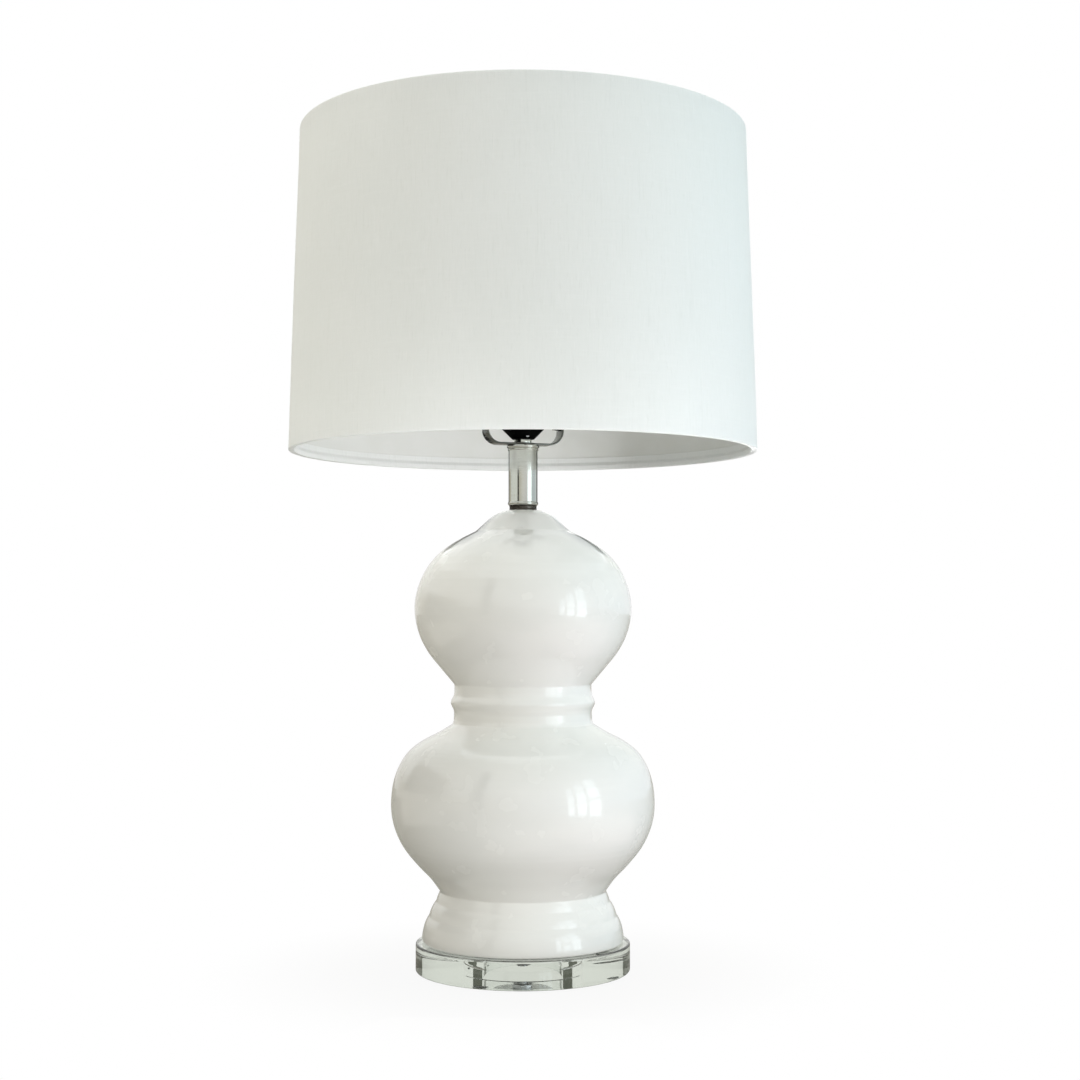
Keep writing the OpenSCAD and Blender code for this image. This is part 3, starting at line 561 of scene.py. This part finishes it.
def finish_nodes():
    """Gives each CAD node that stays in view the finish of its slot."""
    for name, obj in nodes.items():
        obj.data.materials.clear()
        obj.data.materials.append(FINISHES[SLOT_OF[name]])


def stands_for(obj, node):
    """Makes obj the looks of a CAD node: same body, same slot, same finish."""
    obj.data.materials.clear()
    obj.data.materials.append(FINISHES[SLOT_OF[node]])
    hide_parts(node)
    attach(obj, BODY_OF[node])
    return obj


# ---------------------------------------------------------------- turned pieces

WELD = 0.001 * MM


def section(node):
    """A turned CAD node's outline in a half plane from the axis: (radius, z) round one closed loop."""
    azimuth = 0.001  # just off the tessellation's seam, so that the cut passes close to its points
    cut = bmesh.new()
    cut.from_mesh(nodes[node].data)
    bmesh.ops.remove_doubles(cut, verts=cut.verts, dist=WELD)
    made = bmesh.ops.bisect_plane(
        cut, geom=[*cut.verts, *cut.edges, *cut.faces], dist=1e-9, plane_co=(0, 0, 0),
        plane_no=(-math.sin(azimuth), math.cos(azimuth), 0))["geom_cut"]
    beside = {}
    for edge in made:
        if isinstance(edge, bmesh.types.BMEdge) and edge.verts[0].co.x > 0:
            for a, b in (edge.verts, reversed(edge.verts)):
                beside.setdefault(a, []).append(b)
    loops = []
    while beside:
        here = min(beside, key=lambda v: (v.co.z, -v.co.x))
        loop = []
        while here in beside:
            loop.append((math.hypot(here.co.x, here.co.y), here.co.z))
            ahead = [v for v in beside.pop(here) if v in beside]
            if not ahead:
                break
            here = ahead[0]
        loops.append(loop)
    cut.free()
    loop = np.array(max(loops, key=len))
    r, z = loop.T
    area = float(np.sum(r * np.roll(z, -1) - np.roll(r, -1) * z))
    return loop if area > 0 else loop[::-1]  # anticlockwise


def lengths_along(line):
    return np.r_[0, np.cumsum(np.linalg.norm(np.diff(line, axis=0), axis=1))]


def eased(loop, radius, step, tolerance=0.006 * MM, longest=3 * MM):
    """A closed outline with its corners rounded to about radius, and with no more points than it needs."""
    closed = np.vstack([loop, loop[:1]])
    along = lengths_along(closed)
    count = int(along[-1] / step)
    at = np.arange(count) * along[-1] / count
    even = np.column_stack([np.interp(at, along, closed[:, k]) for k in (0, 1)])
    wave = np.fft.fftfreq(count, along[-1] / count)
    soften = np.exp(-2 * (math.pi * wave * radius) ** 2)
    smooth = np.fft.ifft(np.fft.fft(even, axis=0) * soften[:, None], axis=0).real
    kept, i = [0], 0
    while i < count - 1:
        j = i + 1
        while j + 1 < count:
            a, b, between = smooth[i], smooth[j + 1], smooth[i + 1:j + 1]
            chord = b - a
            size = np.hypot(*chord)
            off = np.abs((between[:, 0] - a[0]) * chord[1] - (between[:, 1] - a[1]) * chord[0]).max() / size
            if off > tolerance or size > longest:
                break
            j += 1
        kept.append(j)
        i = j
    return smooth[kept]


def turned(name, loop, segments, swell=None, seam=0.0):
    """A mesh turned about the lamp's axis from a closed anticlockwise outline. Its UVs are metres round and
    metres along the outline. Swell gives how far a point stands out, from its azimuth and outline point."""
    rows = len(loop)
    azimuth = seam + np.arange(segments) * math.tau / segments
    r = np.repeat(loop[:, :1], segments, axis=1)
    z = np.repeat(loop[:, 1:], segments, axis=1)
    if swell is not None:
        r = r + swell(azimuth[None, :], r, z)
    points = np.stack([r * np.cos(azimuth), r * np.sin(azimuth), z], axis=-1).reshape(-1, 3)
    i, j = np.meshgrid(np.arange(rows), np.arange(segments), indexing="ij")
    i2, j2 = (i + 1) % rows, (j + 1) % segments
    faces = np.stack([i * segments + j, i * segments + j2, i2 * segments + j2, i2 * segments + j], axis=-1)
    mesh = bpy.data.meshes.new(name)
    mesh.from_pydata(points.tolist(), [], faces.reshape(-1, 4).tolist())
    mesh.polygons.foreach_set("use_smooth", np.ones(rows * segments, bool))
    along = lengths_along(np.vstack([loop, loop[:1]]))
    around_it = np.arange(segments + 1) * math.tau / segments * float(loop[:, 0].max())
    corners = [(i, j), (i, j + 1), (i + 1, j + 1), (i + 1, j)]
    uv = np.stack([np.stack([around_it[b], along[a]], axis=-1) for a, b in corners], axis=2)
    mesh.uv_layers.new(name="UVMap").data.foreach_set("uv", uv.reshape(-1).astype(np.float32))
    return link(name, mesh)


def bake_modifiers(obj):
    """Leaves the object with the mesh that its modifiers make."""
    graph = bpy.context.evaluated_depsgraph_get()
    mesh = bpy.data.meshes.new_from_object(obj.evaluated_get(graph))
    obj.modifiers.clear()
    obj.data = mesh
    return obj


def carve(obj, cutter):
    """Cuts one object's solid out of another's."""
    cut = obj.modifiers.new("cut", "BOOLEAN")
    cut.operation, cut.solver, cut.object = "DIFFERENCE", "EXACT", cutter
    bake_modifiers(obj)
    bpy.data.objects.remove(cutter)
    sharpen(obj, 40)
    return obj


def sharpen(obj, degrees):
    """Smooth shading that breaks at edges sharper than this."""
    mesh = bmesh.new()
    mesh.from_mesh(obj.data)
    for face in mesh.faces:
        face.smooth = True
    for edge in mesh.edges:
        edge.smooth = len(edge.link_faces) == 2 and edge.calc_face_angle(0) < math.radians(degrees)
    mesh.to_mesh(obj.data)
    mesh.free()
    return obj


def cylinder(name, radius, start, end, segments=64):
    """A closed cylinder from start to end, to cut with."""
    start, end = Vector(start), Vector(end)
    mesh = bmesh.new()
    turn = (end - start).to_track_quat("Z", "Y").to_matrix().to_4x4()
    turn.translation = (start + end) / 2
    bmesh.ops.create_cone(mesh, cap_ends=True, segments=segments, radius1=radius, radius2=radius,
                          depth=(end - start).length, matrix=turn)
    data = bpy.data.meshes.new(name)
    mesh.to_mesh(data)
    mesh.free()
    return link(name, data)


# ---------------------------------------------------------------- ceramic body

def waves(seed, count, lobes, low, high, heights):
    """Terms of a slow unevenness: lobes round, waves up, phases and shares."""
    draw = np.random.default_rng(seed)
    return [(int(draw.integers(lobes[0], lobes[1] + 1)), math.tau / draw.uniform(*heights),
             draw.uniform(0, math.tau), draw.uniform(0, math.tau), draw.uniform(low, high))
            for _ in range(count)]


def unevenness(terms, azimuth, z):
    return sum(share * np.cos(lobe * azimuth + turn) * np.cos(rise * z + lift)
               for lobe, rise, turn, lift, share in terms)


def rising(value, start, over):
    """From 0 at start to 1 when the value is past it by over."""
    return np.clip((value - start) / over, 0, 1)


def make_ceramic():
    """The glazed body: softened creases, the unevenness of a thrown and glazed form, and the cord's hole."""
    low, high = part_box("ceramic_body")
    loop = eased(section("ceramic_body"), 0.7 * MM, 0.35 * MM)
    wide = waves(5, 7, (1, 4), 0.03 * MM, 0.09 * MM, (0.05, 0.16))
    fine = waves(8, 9, (0, 3), 0.002 * MM, 0.005 * MM, (0.009, 0.022))

    def swell(azimuth, r, z):
        fade = rising(z, low.z + 3 * MM, 8 * MM) * rising(-z, 4 * MM - high.z, 8 * MM)
        return fade * (unevenness(wide, azimuth, z) + unevenness(fine, azimuth, z))

    body = turned("lamp_body", loop, 288, swell)
    bushing_low, bushing_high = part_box("cord_bushing")
    z = (bushing_low.z + bushing_high.z) / 2
    flange_r = (bushing_high.x - bushing_low.x) / 2
    carve(body, cylinder("inlet", flange_r - 1.8 * MM, (0, 0.05, z), (0, 0.12, z)))
    carve(body, cylinder("inlet_seat", flange_r + 0.4 * MM, (0, bushing_high.y - 2.4 * MM, z), (0, 0.12, z)))
    mark_crests(body)
    return stands_for(body, "ceramic_body")


def mark_crests(obj):
    """Marks how strongly the surface bulges, where glaze runs thin, as the attribute crest."""
    mesh = bmesh.new()
    mesh.from_mesh(obj.data)
    mesh.normal_update()
    sums, counts = np.zeros(len(mesh.verts)), np.zeros(len(mesh.verts))
    for edge in mesh.edges:
        a, b = edge.verts
        bend = (b.normal - a.normal).dot(b.co - a.co) / max((b.co - a.co).length_squared, 1e-10)
        for v in (a, b):
            sums[v.index] += bend
            counts[v.index] += 1
    mesh.free()
    bend = sums / np.maximum(counts, 1)
    crest = np.clip((bend - 40) / 250, 0, 1)
    obj.data.attributes.new("crest", "FLOAT", "POINT").data.foreach_set("value", crest.astype(np.float32))


# ---------------------------------------------------------------- shade

def make_shade():
    """The linen cover: one sheet rolled over both rings, with a lapped seam at the back."""
    low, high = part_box("shade_fabric")
    loop = eased(section("shade_fabric"), 0.3 * MM, 0.2 * MM, 0.01 * MM, 6 * MM)
    slack = waves(11, 6, (2, 7), 0.05 * MM, 0.14 * MM, (0.2, 0.6))
    seam = math.pi / 2
    lap = 12 * MM / high.x

    def radius_near(height):
        return loop[np.abs(loop[:, 1] - height) < 3 * MM][:, 0].max()

    def shade_radius(z):
        share = (z - low.z) / (high.z - low.z)
        return radius_near(low.z + 5 * MM) * (1 - share) + radius_near(high.z - 5 * MM) * share

    def swell(azimuth, r, z):
        outside = rising(r, shade_radius(z) - 0.6 * MM, 0.5 * MM)
        middle = rising(z, low.z + 3 * MM, 30 * MM) * rising(-z, 3 * MM - high.z, 30 * MM)
        past = (azimuth - seam) % math.tau
        lapped = rising(past, 0, 0.002) * rising(-past, -lap, 0.004)
        return middle * unevenness(slack, azimuth, z) + outside * lapped * 0.35 * MM

    cover = turned("shade_cover", loop, 720, swell, seam - 0.01)
    for i in (1, 2, 3):
        carve(cover, fattened(f"spider_arm_{i}", 0.35 * MM))
    stands_for(cover, "shade_fabric")
    return cover


def fattened(node, by):
    """A copy of a CAD node that stands out by a little all over, to cut with."""
    mesh = bmesh.new()
    mesh.from_mesh(nodes[node].data)
    bmesh.ops.remove_doubles(mesh, verts=mesh.verts, dist=WELD)
    mesh.normal_update()
    moved = [v.co + v.normal * by for v in mesh.verts]
    for v, co in zip(mesh.verts, moved):
        v.co = co
    data = bpy.data.meshes.new(node + "_room")
    mesh.to_mesh(data)
    mesh.free()
    return link(node + "_room", data)


# ---------------------------------------------------------------- other pieces

def turn_again(name, node, radius, segments=192, step=0.1 * MM):
    """A turned CAD node made again with rounded edges and more facets."""
    loop = eased(section(node), radius, step, 0.002 * MM, 2 * MM)
    return stands_for(turned(name, loop, segments), node)


def bevelled(name, node, width, degrees=35):
    """A CAD node made again with its sharp edges eased."""
    mesh = bmesh.new()
    mesh.from_mesh(nodes[node].data)
    bmesh.ops.remove_doubles(mesh, verts=mesh.verts, dist=WELD)
    bmesh.ops.dissolve_limit(mesh, angle_limit=math.radians(0.5), verts=mesh.verts, edges=mesh.edges)
    sharp = [e for e in mesh.edges if e.calc_face_angle(0) > math.radians(degrees)]
    bmesh.ops.bevel(mesh, geom=sharp, offset=width, segments=3, profile=0.5, affect="EDGES",
                    clamp_overlap=True)
    data = bpy.data.meshes.new(name)
    mesh.to_mesh(data)
    mesh.free()
    return stands_for(sharpen(link(name, data), degrees), node)


make_stage()
finish_nodes()
make_ceramic()
make_shade()
turn_again("clear_plinth", "base_disc", 0.35 * MM, 288)
turn_again("neck_barrel", "neck_tube", 0.12 * MM)
turn_again("neck_collar", "neck_cap", 0.12 * MM)
turn_again("neck_foot_bead", "neck_lower_bead", 0.12 * MM)
turn_again("neck_seat", "neck_seat_ring", 0.15 * MM)
turn_again("socket_flare", "socket_cap", 0.3 * MM)
bevelled("saddle_strip", "harp_saddle", 0.3 * MM)
bevelled("saddle_locknut", "saddle_nut", 0.35 * MM)
bevelled("plinth_nut", "base_nut", 0.4 * MM)
shine_only_on([nodes["shade_liner"].name, "shade_cover"], ["into_shade"])
shine_only_on(["shade_cover"], RIM_LIGHTS)
shine_only_on(["lamp_body"], ["shade_mouth"])
